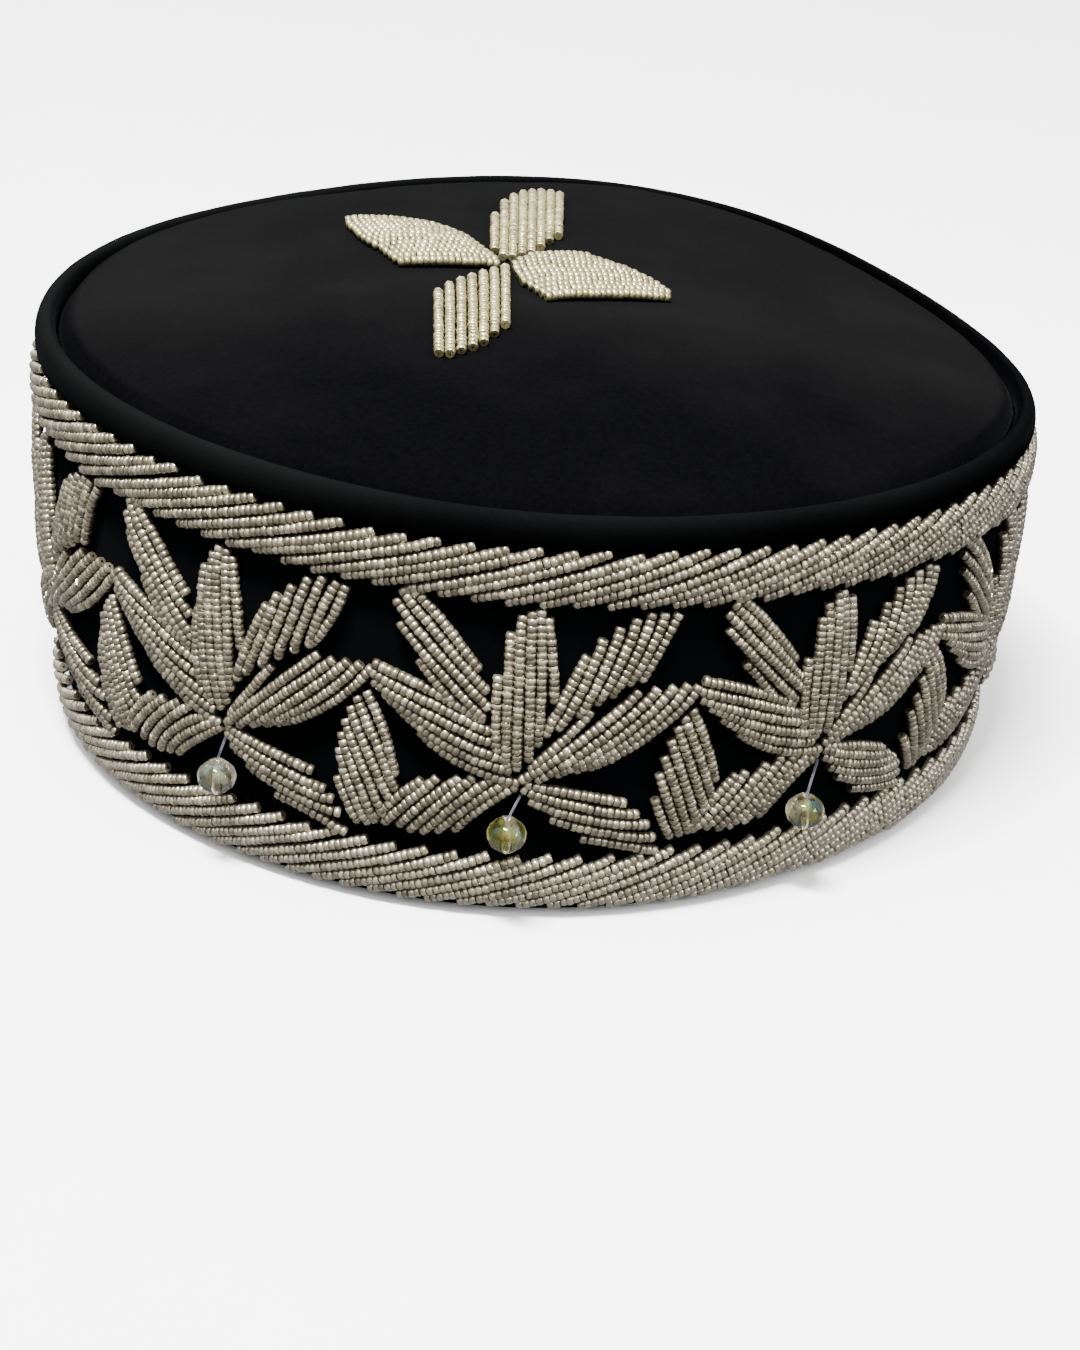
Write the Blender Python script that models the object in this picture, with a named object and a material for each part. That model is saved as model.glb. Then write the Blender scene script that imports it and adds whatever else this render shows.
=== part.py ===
"""A beaded drum cap: a domed cloth crown, a padded roll, an upright cloth band
and raised bead work. Units are metres, Z is up, the front looks along -Y, and
the hem stands on Z = 0."""

from math import atan2, cos, hypot, pi, sin

import bmesh
import bpy
from mathutils import Vector

# Cloth band
BAND_RADIUS = 0.0975        # outer radius at the top of the band
BAND_HEIGHT = 0.0782        # from the hem to the band's top edge
BAND_WALL = 0.0030
HEM_TAPER = 0.058           # share of the radius that the hem is narrower by
TAPER_POWER = 3             # how late the band starts to draw in

# Crown
ROLL_WIDTH = 0.0044
ROLL_HEIGHT = 0.0056
ROLL_INSET = 0.0026         # groove beside the crown panel, in from the band's face
SEAM_SHARE = 0.9            # height of the groove on the roll
CROWN_RISE = 0.0092         # from the groove to the middle of the crown
CROWN_WALL = 0.0025

SEAM_RADIUS = BAND_RADIUS - ROLL_INSET

# Bead work
RELIEF = 0.0020             # height of the beads over the cloth
TOP_BORDER_HEIGHT = 0.0113
HEM_SHOWS = 0.0012          # plain cloth below the bottom border
BOTTOM_BORDER_HEIGHT = 0.0128
SPRAYS = 10

# Crystals on their threads
CRYSTAL_WIDTH = 0.0074
CRYSTAL_HEIGHT = 0.0060
CRYSTAL_SIDES = 10
THREAD_WIDTH = 0.0005
THREAD_SIDES = 6

GAP = 0.0003                # between pieces that touch
SIDES = 60                  # flats round the cap
FRONT = -pi / 2 + 0.014     # direction of the spray at the front

# Hand-worked unevenness of the plan: waves round the cap, then the cosine and
# sine parts as shares of the radius
PLAN_WAVES = (
    (2, 0.0155, 0.0190),
    (3, -0.0095, -0.0108),
    (4, 0.0144, -0.0022),
)

# The same for the heights, as shares of the height
RISE_WAVES = (
    (1, -0.0514, 0.0110),
    (2, -0.0131, -0.0033),
)

# Local dips of the height: direction and half width as shares of a turn, then
# the dip as a share of the height
RISE_DIPS = (
    (0.055, 0.130, 0.030),
    (0.330, 0.130, 0.014),
)

# Run of the wall to the right and to the back for each unit of height
LEAN = (0.017, 0.012)

# Cross-section of the roll, a soft fold that sags outward: shares of its half
# width and of its half height
ROLL_SECTION = (
    (1.00, -0.35),
    (0.92, 0.25),
    (0.60, 0.78),
    (0.00, 1.00),
    (-0.66, 0.74),
    (-1.00, 0.10),
    (-0.80, -0.70),
    (-0.20, -1.00),
    (0.66, -1.00),
    (0.93, -0.78),
)

# Crown profile: share of the seam radius, share of the crown's rise
CROWN_PROFILE = (
    (1.00, -0.14),
    (0.98, 0.07),
    (0.94, 0.20),
    (0.86, 0.37),
    (0.74, 0.58),
    (0.56, 0.80),
    (0.32, 0.96),
)
LINING_ROWS = (1.00, 0.86, 0.56)

# Soft swells of the crown: direction as a share of a turn, distance and spread
# as shares of the seam radius, height as a share of the crown's rise
CROWN_SWELLS = (
    (0.38, 0.80, 0.30, 0.10),
    (0.22, 0.86, 0.26, 0.08),
    (0.78, 0.55, 0.30, -0.05),
)

# Cross-section of a border: share of its height, share of the relief
BORDER_SECTION = (
    (0.00, 0.55),
    (0.14, 1.00),
    (0.50, 1.00),
    (0.86, 1.00),
    (1.00, 0.55),
)

# Leaves of a spray, anticlockwise from the right. Across is a share of the
# distance between sprays and up a share of the height between the borders.
# Each has its root on the clockwise side, rows from root to tip with the
# clockwise edge (across, up) and the other edge (across, up), and its tip.
HUB = (0.000, 0.340)
LEAVES = (
    ("right", (0.060, 0.335), (
        (0.205, 0.360, 0.150, 0.565),
        (0.330, 0.450, 0.295, 0.680),
        (0.435, 0.565, 0.415, 0.720),
    ), (0.487, 0.688)),
    ("upper_right", (0.075, 0.490), (
        (0.205, 0.675, 0.085, 0.670),
        (0.330, 0.745, 0.145, 0.845),
        (0.420, 0.930, 0.265, 0.965),
    ), (0.385, 0.982)),
    ("centre", (0.060, 0.550), (
        (0.082, 0.690, -0.128, 0.690),
        (0.074, 0.820, -0.112, 0.830),
        (0.046, 0.930, -0.076, 0.935),
    ), (-0.014, 0.984)),
    ("upper_left", (-0.110, 0.550), (
        (-0.150, 0.700, -0.225, 0.635),
        (-0.240, 0.880, -0.375, 0.780),
        (-0.345, 0.968, -0.442, 0.895),
    ), (-0.420, 0.978)),
    ("left", (-0.115, 0.490), (
        (-0.230, 0.598, -0.200, 0.370),
        (-0.340, 0.670, -0.320, 0.450),
        (-0.445, 0.712, -0.425, 0.560),
    ), (-0.487, 0.655)),
    ("lower_left", (-0.085, 0.325), (
        (-0.195, 0.332, -0.065, 0.250),
        (-0.345, 0.278, -0.165, 0.120),
        (-0.470, 0.110, -0.300, 0.020),
    ), (-0.440, 0.018)),
    ("lower_right", (0.000, 0.285), (
        (0.055, 0.200, 0.140, 0.305),
        (0.165, 0.080, 0.275, 0.260),
        (0.300, 0.018, 0.385, 0.165),
    ), (0.432, 0.035)),
)

# The upright bud between two sprays, from its foot to its tip
BUD_FOOT = (0.485, 0.070)
BUD_ROWS = (
    (0.550, 0.170, 0.435, 0.150),
    (0.625, 0.290, 0.400, 0.290),
    (0.605, 0.430, 0.408, 0.440),
    (0.552, 0.530, 0.450, 0.535),
)
BUD_TIP = (0.500, 0.575)

# Petals of the crown, as shares of the seam radius to the right and back of
# the crown's middle: foot, rows with the clockwise edge and the other edge, tip
PETALS = (
    ("left", (-0.115, 0.090), (
        (-0.146, 0.203, -0.157, 0.061),
        (-0.218, 0.304, -0.249, 0.044),
        (-0.309, 0.371, -0.324, 0.042),
        (-0.405, 0.376, -0.385, 0.151),
    ), (-0.468, 0.331)),
    ("right", (-0.090, 0.097), (
        (-0.038, -0.026, -0.042, 0.166),
        (0.029, -0.081, 0.043, 0.201),
        (0.111, -0.056, 0.129, 0.168),
        (0.195, -0.022, 0.193, 0.148),
    ), (0.263, 0.029)),
    ("front", (-0.097, 0.088), (
        (-0.156, 0.028, -0.090, -0.111),
        (-0.203, -0.038, -0.089, -0.275),
        (-0.240, -0.119, -0.125, -0.383),
        (-0.231, -0.319, -0.170, -0.429),
    ), (-0.214, -0.449)),
    ("back", (-0.113, 0.156), (
        (-0.084, 0.153, -0.136, 0.232),
        (-0.042, 0.190, -0.144, 0.383),
        (0.007, 0.305, -0.130, 0.536),
        (0.023, 0.492, -0.097, 0.680),
    ), (0.018, 0.727)),
)

# Crystals: number of the spray counted from the front one, then the crystal's
# middle across the spray and up the field
CRYSTALS = (
    ("left", -1, -0.018, 0.090),
    ("front", 0, -0.038, 0.106),
    ("right", 1, -0.060, 0.090),
)

# Facet rings: share of the half height, share of the radius
CRYSTAL_RINGS = (
    (1.00, 0.42),
    (0.55, 0.86),
    (0.00, 1.00),
    (-0.55, 0.86),
    (-1.00, 0.42),
)

ROLL_BOTTOM = BAND_HEIGHT + GAP
SEAM_HEIGHT = ROLL_BOTTOM + SEAM_SHARE * ROLL_HEIGHT
TOP_BORDER_LOW = BAND_HEIGHT - GAP - TOP_BORDER_HEIGHT
FIELD_LOW = HEM_SHOWS + BOTTOM_BORDER_HEIGHT
FIELD_HEIGHT = TOP_BORDER_LOW - FIELD_LOW
SPRAY_TURN = 2 * pi / SPRAYS


def waves(table, angle):
    """Sum of a table's waves at an angle round the cap."""
    return sum(c * cos(n * angle) + s * sin(n * angle) for n, c, s in table)


def rise(angle):
    """Share by which the cap is higher at an angle."""
    high = waves(RISE_WAVES, angle)
    for turn, width, dip in RISE_DIPS:
        away = (angle / (2 * pi) - turn + 0.5) % 1 - 0.5
        high -= dip * max(0.0, 1 - (away / width) ** 2) ** 2
    return high


def leaning_spot(angle, radius, height, fade=1.0):
    """Point of the uneven, leaning cap, before it is centred."""
    z = height * (1 + fade * rise(angle))
    reach = radius * (1 + waves(PLAN_WAVES, angle))
    return Vector((reach * cos(angle) + LEAN[0] * z, reach * sin(angle) + LEAN[1] * z, z))


def band_radius(height):
    """Outer radius of the cloth band at a height."""
    below = 1 - height / BAND_HEIGHT
    return BAND_RADIUS * (1 - HEM_TAPER * below ** TAPER_POWER)


def widest_middle():
    """Middle of the cap's widest outline, seen from above."""
    spots = []
    for step in range(SIDES):
        angle = 2 * pi * step / SIDES
        for share in (0.0, 0.14, 0.5, 0.86):
            height = TOP_BORDER_LOW + share * TOP_BORDER_HEIGHT
            spots.append(leaning_spot(angle, band_radius(height) + RELIEF, height))
    for side, spray, across, up in CRYSTALS:
        height = FIELD_LOW + up * FIELD_HEIGHT
        angle = FRONT + (spray + across) * SPRAY_TURN
        middle = leaning_spot(angle, band_radius(height) + GAP + CRYSTAL_WIDTH / 2, height)
        for sign in (-1, 1):
            spots.append(middle + Vector((sign, sign, 0)) * CRYSTAL_WIDTH / 2)
    middle_x = (min(p.x for p in spots) + max(p.x for p in spots)) / 2
    middle_y = (min(p.y for p in spots) + max(p.y for p in spots)) / 2
    return Vector((middle_x, middle_y, 0))


MIDDLE = widest_middle()


def spot(angle, radius, height, fade=1.0):
    """Point of the cap in its final place."""
    return leaning_spot(angle, radius, height, fade) - MIDDLE


def band_spot(spray, across, up, lift):
    """Point over the band, by a spray's number and shares of its field."""
    height = FIELD_LOW + up * FIELD_HEIGHT
    angle = FRONT + (spray + across) * SPRAY_TURN
    return spot(angle, band_radius(height) + lift, height)


def crown_height(share, angle):
    """Height of the crown's outer face at a share of the seam radius."""
    rows = CROWN_PROFILE + ((0.0, 1.0),)
    rise = rows[0][1]
    for (outer, outer_rise), (inner, inner_rise) in zip(rows, rows[1:]):
        if inner <= share <= outer:
            part = (outer - share) / (outer - inner)
            rise = outer_rise + part * (inner_rise - outer_rise)
    for turn, distance, spread, swell in CROWN_SWELLS:
        dx = share * cos(angle) - distance * cos(2 * pi * turn)
        dy = share * sin(angle) - distance * sin(2 * pi * turn)
        near = max(0.0, 1 - (hypot(dx, dy) / spread) ** 2)
        rise += swell * near ** 2
    return SEAM_HEIGHT + CROWN_RISE * rise


def crown_spot(share, angle, lift):
    """Point over the crown panel's outer face."""
    edge = SEAM_RADIUS - GAP / 2
    return spot(angle, share * edge, crown_height(share, angle) + lift, fade=share)


def petal_spot(right, back, lift):
    """Point over the crown by shares of the seam radius."""
    angle = atan2(back, right)
    share = hypot(right, back) / (1 + waves(PLAN_WAVES, angle))
    return crown_spot(share, angle, lift)


def material(name, colour, roughness, metallic=0.0, transmission=0.0):
    """Principled material."""
    made = bpy.data.materials.new(name)
    made.use_nodes = True
    shader = made.node_tree.nodes["Principled BSDF"]
    shader.inputs["Base Color"].default_value = (*colour, 1)
    shader.inputs["Roughness"].default_value = roughness
    shader.inputs["Metallic"].default_value = metallic
    shader.inputs["Transmission Weight"].default_value = transmission
    made.diffuse_color = (*colour, 1)
    return made


def add_object(name, bm, finish, sharp=0.6):
    """Turn a bmesh into a named object with its faces pointing out."""
    bmesh.ops.recalc_face_normals(bm, faces=bm.faces)
    mesh = bpy.data.meshes.new(name)
    bm.to_mesh(mesh)
    bm.free()
    mesh.materials.append(finish)
    mesh.shade_smooth()
    mesh.set_sharp_from_angle(angle=sharp)
    made = bpy.data.objects.new(name, mesh)
    bpy.context.collection.objects.link(made)
    return made


def bridge(bm, ring, following):
    """Faces between two closed rings of as many points."""
    count = len(ring)
    for i in range(count):
        j = (i + 1) % count
        bm.faces.new((ring[i], ring[j], following[j], following[i]))


def ring_solid(name, section, finish):
    """Closed ring from a closed section of (radius, height) points."""
    bm = bmesh.new()
    rings = []
    for step in range(SIDES):
        angle = 2 * pi * step / SIDES
        rings.append([bm.verts.new(spot(angle, r, h)) for r, h in section])
    for step in range(SIDES):
        bridge(bm, rings[step], rings[(step + 1) % SIDES])
    return add_object(name, bm, finish)


def side_band(finish):
    """Upright cloth wall with a plain hem."""
    levels = 6
    heights = [BAND_HEIGHT * i / (levels - 1) for i in range(levels)]
    outer = [(band_radius(h), h) for h in heights]
    inner = [(band_radius(h) - BAND_WALL, h) for h in reversed(heights)]
    return ring_solid("side_band", outer + inner, finish)


def crown_roll(finish):
    """Padded roll that stands on the band round the crown panel."""
    middle_radius = SEAM_RADIUS + GAP / 2 + ROLL_WIDTH / 2
    middle_height = ROLL_BOTTOM + ROLL_HEIGHT / 2
    section = []
    for across, up in ROLL_SECTION:
        radius = middle_radius + across * ROLL_WIDTH / 2
        section.append((radius, middle_height + up * ROLL_HEIGHT / 2))
    return ring_solid("crown_roll", section, finish)


def crown_panel(finish):
    """Domed cloth top, hollow below."""
    bm = bmesh.new()

    def rings(shares, lift):
        made = []
        for share in shares:
            made.append([bm.verts.new(crown_spot(share, 2 * pi * i / SIDES, lift)) for i in range(SIDES)])
        tip = bm.verts.new(crown_spot(0, 0, lift))
        for ring, following in zip(made, made[1:]):
            bridge(bm, ring, following)
        last = made[-1]
        for i in range(SIDES):
            bm.faces.new((last[i], last[(i + 1) % SIDES], tip))
        return made[0]

    top = rings([share for share, rise in CROWN_PROFILE], 0)
    below = rings(LINING_ROWS, -CROWN_WALL)
    bridge(bm, top, below)
    return add_object("crown_panel", bm, finish)


def border(name, low, high, finish):
    """Raised band of bead strings round the cloth band."""
    section = []
    for share, relief in BORDER_SECTION:
        height = low + share * (high - low)
        section.append((band_radius(height) + GAP + relief * (RELIEF - GAP), height))
    for share, relief in reversed(BORDER_SECTION):
        height = low + share * (high - low)
        section.append((band_radius(height) + GAP, height))
    return ring_solid(name, section, finish)


def raised_pad(name, outlines, hub, place, finish):
    """Closed pad with a crest along each leaf, one body from shared points.

    Each outline is (root, rows, tip, next root). place(across, up, lift) gives
    the point over the cloth."""
    bm = bmesh.new()
    tops = {}
    bases = {}

    def corner(across, up, relief):
        key = (round(across, 4), round(up, 4))
        if key not in tops:
            tops[key] = bm.verts.new(place(across, up, GAP + relief * (RELIEF - GAP)))
            bases[tops[key]] = bm.verts.new(place(across, up, GAP))
        return tops[key]

    faces = []
    for root, rows, tip, next_root in outlines:
        sides = [(corner(*root, 0.75), corner(*next_root, 0.75))]
        crests = [corner(*hub, 0.75)]
        for a, b, c, d in rows:
            sides.append((corner(a, b, 0.6), corner(c, d, 0.6)))
            crests.append(corner((a + c) / 2, (b + d) / 2, 1.0))
        end = corner(*tip, 0.6)
        for (a, b), (c, d), low, high in zip(sides, sides[1:], crests, crests[1:]):
            faces.append([low, a, c, high] if low is not a else [low, c, high])
            faces.append([low, high, d, b] if low is not b else [low, high, d])
        faces.append([crests[-1], sides[-1][0], end])
        faces.append([crests[-1], end, sides[-1][1]])
    for face in faces:
        bm.faces.new(face)
        bm.faces.new([bases[v] for v in reversed(face)])
    bm.edges.ensure_lookup_table()
    for edge in [e for e in bm.edges if len(e.link_faces) == 1 and e.verts[0] in bases]:
        a, b = edge.verts
        bm.faces.new((a, b, bases[b], bases[a]))
    return add_object(name, bm, finish)


def spray(number, finish):
    """Seven leaves round one hub, fused in one body."""
    outlines = []
    for i, (leaf, root, rows, tip) in enumerate(LEAVES):
        next_root = LEAVES[(i + 1) % len(LEAVES)][1]
        outlines.append((root, rows, tip, next_root))

    def place(across, up, lift):
        return band_spot(number, across, up, lift)

    return raised_pad(f"spray_{number + 1:02d}", outlines, HUB, place, finish)


def bud(number, finish):
    """Upright leaf between two sprays."""
    def place(across, up, lift):
        return band_spot(number, across, up, lift)

    outline = (BUD_FOOT, BUD_ROWS, BUD_TIP, BUD_FOOT)
    return raised_pad(f"bud_{number + 1:02d}", [outline], BUD_FOOT, place, finish)


def petal(name, foot, rows, tip, finish):
    """Raised petal on the crown."""
    return raised_pad(f"petal_{name}", [(foot, rows, tip, foot)], foot, petal_spot, finish)


def crystal_middle(spray, across, up):
    """Middle of a crystal that leans on the band."""
    return band_spot(spray, across, up, GAP + CRYSTAL_WIDTH / 2)


def crystal(name, middle, finish):
    """Faceted bead with a flat table above and below."""
    bm = bmesh.new()
    rings = []
    for rise, reach in CRYSTAL_RINGS:
        ring = []
        for i in range(CRYSTAL_SIDES):
            turn = 2 * pi * i / CRYSTAL_SIDES
            side = Vector((cos(turn), sin(turn), 0)) * reach * CRYSTAL_WIDTH / 2
            ring.append(bm.verts.new(middle + side + Vector((0, 0, rise * CRYSTAL_HEIGHT / 2))))
        rings.append(ring)
    for ring, following in zip(rings, rings[1:]):
        bridge(bm, ring, following)
    bm.faces.new(rings[0])
    bm.faces.new(rings[-1])
    return add_object(f"crystal_{name}", bm, finish, sharp=0.1)


def thread(name, spray, middle, finish):
    """Short thread from the hub's lower edge to the crystal's table."""
    lower_root = LEAVES[-1][1]
    drop = (THREAD_WIDTH + GAP) / FIELD_HEIGHT
    high = band_spot(spray, lower_root[0], lower_root[1] - drop, RELIEF * 0.6)
    low = middle + Vector((0, 0, CRYSTAL_HEIGHT / 2 + GAP))
    bm = bmesh.new()
    rings = []
    for end in (high, low):
        ring = []
        for i in range(THREAD_SIDES):
            turn = 2 * pi * i / THREAD_SIDES
            side = Vector((cos(turn), sin(turn), 0)) * THREAD_WIDTH / 2
            ring.append(bm.verts.new(end + side))
        rings.append(ring)
    bridge(bm, *rings)
    for ring in rings:
        bm.faces.new(ring)
    return add_object(f"thread_{name}", bm, finish)


def build():
    for old in list(bpy.data.objects):
        bpy.data.objects.remove(old, do_unlink=True)
    cloth = material("black_cloth", (0.012, 0.013, 0.016), 0.85)
    beads = material("silver_beads", (0.62, 0.57, 0.47), 0.3, metallic=0.7)
    glass = material("crystal", (0.90, 0.92, 0.86), 0.05, transmission=0.9)
    clear_thread = material("clear_thread", (0.55, 0.53, 0.62), 0.4)
    cap = bpy.data.objects.new("cap", None)
    bpy.context.collection.objects.link(cap)
    pieces = [side_band(cloth), crown_roll(cloth), crown_panel(cloth)]
    low = FIELD_LOW - BOTTOM_BORDER_HEIGHT
    pieces.append(border("bottom_border", low, FIELD_LOW - GAP, beads))
    pieces.append(border("top_border", TOP_BORDER_LOW + GAP, BAND_HEIGHT - GAP, beads))
    for number in range(SPRAYS):
        pieces.append(spray(number, beads))
        pieces.append(bud(number, beads))
    for name, spray_number, across, up in CRYSTALS:
        middle = crystal_middle(spray_number, across, up)
        pieces.append(crystal(name, middle, glass))
        pieces.append(thread(name, spray_number, middle, clear_thread))
    for name, foot, rows, tip in PETALS:
        pieces.append(petal(name, foot, rows, tip, beads))
    for piece in pieces:
        piece.parent = cap


build()
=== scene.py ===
"""Looks of the beaded drum cap: velvet, strings of seed beads, hanging crystals,
soft studio light. Units are metres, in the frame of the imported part."""

from math import cos, pi, radians, sin

import bmesh
import bpy
import numpy as np
from mathutils import Matrix, Vector


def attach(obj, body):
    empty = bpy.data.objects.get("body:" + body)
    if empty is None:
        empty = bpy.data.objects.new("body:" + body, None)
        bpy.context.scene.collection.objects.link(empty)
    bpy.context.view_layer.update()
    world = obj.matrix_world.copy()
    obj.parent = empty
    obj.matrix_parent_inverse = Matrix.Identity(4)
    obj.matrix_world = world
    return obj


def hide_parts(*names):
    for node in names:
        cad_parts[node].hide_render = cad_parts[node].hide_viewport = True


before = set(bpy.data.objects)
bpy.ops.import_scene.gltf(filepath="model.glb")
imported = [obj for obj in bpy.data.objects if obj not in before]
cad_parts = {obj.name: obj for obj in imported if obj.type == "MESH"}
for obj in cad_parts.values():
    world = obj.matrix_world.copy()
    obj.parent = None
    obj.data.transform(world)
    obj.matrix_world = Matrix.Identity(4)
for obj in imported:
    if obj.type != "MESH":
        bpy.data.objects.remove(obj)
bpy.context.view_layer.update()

# Form of the cap, the same values as the part's
BAND_RADIUS = 0.0975
BAND_HEIGHT = 0.0782
BAND_WALL = 0.0030
HEM_TAPER = 0.058
TAPER_POWER = 3
ROLL_WIDTH = 0.0044
ROLL_HEIGHT = 0.0056
SEAM_RADIUS = BAND_RADIUS - 0.0026
SEAM_SHARE = 0.9
CROWN_RISE = 0.0092
CROWN_WALL = 0.0025
RELIEF = 0.0020
TOP_BORDER_HEIGHT = 0.0113
HEM_SHOWS = 0.0012
BOTTOM_BORDER_HEIGHT = 0.0128
SPRAYS = 10
CRYSTAL_WIDTH = 0.0074
GAP = 0.0003
FRONT = -pi / 2 + 0.014
PLAN_WAVES = ((2, 0.0155, 0.0190), (3, -0.0095, -0.0108), (4, 0.0144, -0.0022))
RISE_WAVES = ((1, -0.0514, 0.0110), (2, -0.0131, -0.0033))
RISE_DIPS = ((0.055, 0.130, 0.030), (0.330, 0.130, 0.014))
LEAN = (0.017, 0.012)
CROWN_PROFILE = (
    (1.00, -0.14),
    (0.98, 0.07),
    (0.94, 0.20),
    (0.86, 0.37),
    (0.74, 0.58),
    (0.56, 0.80),
    (0.32, 0.96),
)
CROWN_SWELLS = (
    (0.38, 0.80, 0.30, 0.10),
    (0.22, 0.86, 0.26, 0.08),
    (0.78, 0.55, 0.30, -0.05),
)
CRYSTALS = (
    ("left", -1, -0.018, 0.090),
    ("front", 0, -0.038, 0.106),
    ("right", 1, -0.060, 0.090),
)
LOWER_ROOT = (0.000, 0.285)

ROLL_BOTTOM = BAND_HEIGHT + GAP
SEAM_HEIGHT = ROLL_BOTTOM + SEAM_SHARE * ROLL_HEIGHT
TOP_BORDER_LOW = BAND_HEIGHT - GAP - TOP_BORDER_HEIGHT
FIELD_LOW = HEM_SHOWS + BOTTOM_BORDER_HEIGHT
FIELD_HEIGHT = TOP_BORDER_LOW - FIELD_LOW
SPRAY_TURN = 2 * pi / SPRAYS

# Beads
BEAD_WIDTH = 0.00218
BEAD_PITCH = 0.00130
PAD = 0.0011                # how far the padding lifts the middle of a string
EDGE_PAD_LOSS = 0.55        # share of the padding that a leaf's outermost strings go without
STRING_SPACING = 0.00210
BORDER_STRINGS = 101
BORDER_TURN = radians(17.7)
BORDER_ANGLE_STRAY = 0.0012
BORDER_END_STRAY = 0.00025

# Strings of each leaf, in the order they lie: start, middle and end of each,
# as (across, up) shares of a spray's turn and of the field's height
SPRAY_STRINGS = {
    "centre": (
        (-0.106, 0.730, -0.100, 0.583, -0.086, 0.440),
        (-0.080, 0.886, -0.076, 0.644, -0.056, 0.389),
        (-0.049, 0.965, -0.043, 0.687, -0.020, 0.378),
        (-0.018, 0.983, -0.012, 0.728, 0.013, 0.415),
        (0.008, 0.990, 0.024, 0.731, 0.036, 0.480),
        (0.027, 0.961, 0.050, 0.810, 0.065, 0.640),
    ),
    "upper_left": (
        (-0.385, 1.023, -0.291, 0.929, -0.163, 0.743),
        (-0.403, 1.012, -0.289, 0.873, -0.136, 0.669),
        (-0.423, 0.981, -0.286, 0.816, -0.127, 0.616),
        (-0.418, 0.918, -0.284, 0.762, -0.122, 0.573),
        (-0.391, 0.837, -0.282, 0.705, -0.154, 0.549),
        (-0.345, 0.758, -0.281, 0.674, -0.223, 0.602),
    ),
    "left": (
        (-0.483, 0.708, -0.310, 0.649, -0.136, 0.552),
        (-0.494, 0.655, -0.292, 0.574, -0.103, 0.492),
        (-0.465, 0.615, -0.274, 0.519, -0.070, 0.428),
        (-0.413, 0.577, -0.241, 0.465, -0.043, 0.390),
        (-0.393, 0.538, -0.224, 0.420, -0.024, 0.356),
        (-0.335, 0.480, -0.192, 0.383, -0.006, 0.328),
    ),
    "upper_right": (
        (0.053, 0.517, 0.095, 0.657, 0.153, 0.823),
        (0.097, 0.547, 0.153, 0.698, 0.210, 0.905),
        (0.173, 0.627, 0.223, 0.777, 0.272, 0.954),
        (0.222, 0.659, 0.281, 0.815, 0.330, 0.987),
        (0.289, 0.716, 0.339, 0.851, 0.383, 0.985),
        (0.322, 0.723, 0.370, 0.850, 0.421, 0.982),
    ),
    "right": (
        (0.020, 0.385, 0.106, 0.499, 0.180, 0.612),
        (0.001, 0.358, 0.150, 0.516, 0.277, 0.669),
        (-0.002, 0.334, 0.181, 0.520, 0.331, 0.687),
        (0.062, 0.345, 0.242, 0.519, 0.400, 0.690),
        (0.136, 0.377, 0.305, 0.517, 0.463, 0.700),
        (0.191, 0.386, 0.368, 0.513, 0.513, 0.687),
    ),
    "lower_left": (
        (-0.318, 0.281, -0.410, 0.179, -0.476, 0.077),
        (-0.274, 0.302, -0.361, 0.190, -0.442, 0.077),
        (-0.196, 0.319, -0.297, 0.212, -0.393, 0.076),
        (-0.135, 0.337, -0.234, 0.215, -0.343, 0.056),
        (-0.062, 0.335, -0.187, 0.214, -0.294, 0.066),
        (-0.014, 0.318, -0.124, 0.210, -0.214, 0.089),
    ),
    "lower_right": (
        (0.014, 0.322, 0.168, 0.279, 0.313, 0.225),
        (0.002, 0.306, 0.171, 0.235, 0.354, 0.173),
        (0.012, 0.270, 0.207, 0.182, 0.391, 0.134),
        (0.064, 0.203, 0.243, 0.137, 0.412, 0.092),
        (0.115, 0.140, 0.281, 0.078, 0.436, 0.031),
        (0.184, 0.082, 0.317, 0.044, 0.440, -0.001),
    ),
}

BUD_STRINGS = (
    (0.406, 0.234, 0.440, 0.142, 0.478, 0.056),
    (0.411, 0.372, 0.457, 0.228, 0.519, 0.063),
    (0.429, 0.446, 0.493, 0.266, 0.551, 0.080),
    (0.439, 0.506, 0.504, 0.308, 0.569, 0.130),
    (0.466, 0.564, 0.537, 0.369, 0.597, 0.205),
    (0.495, 0.597, 0.552, 0.455, 0.606, 0.285),
)

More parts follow.
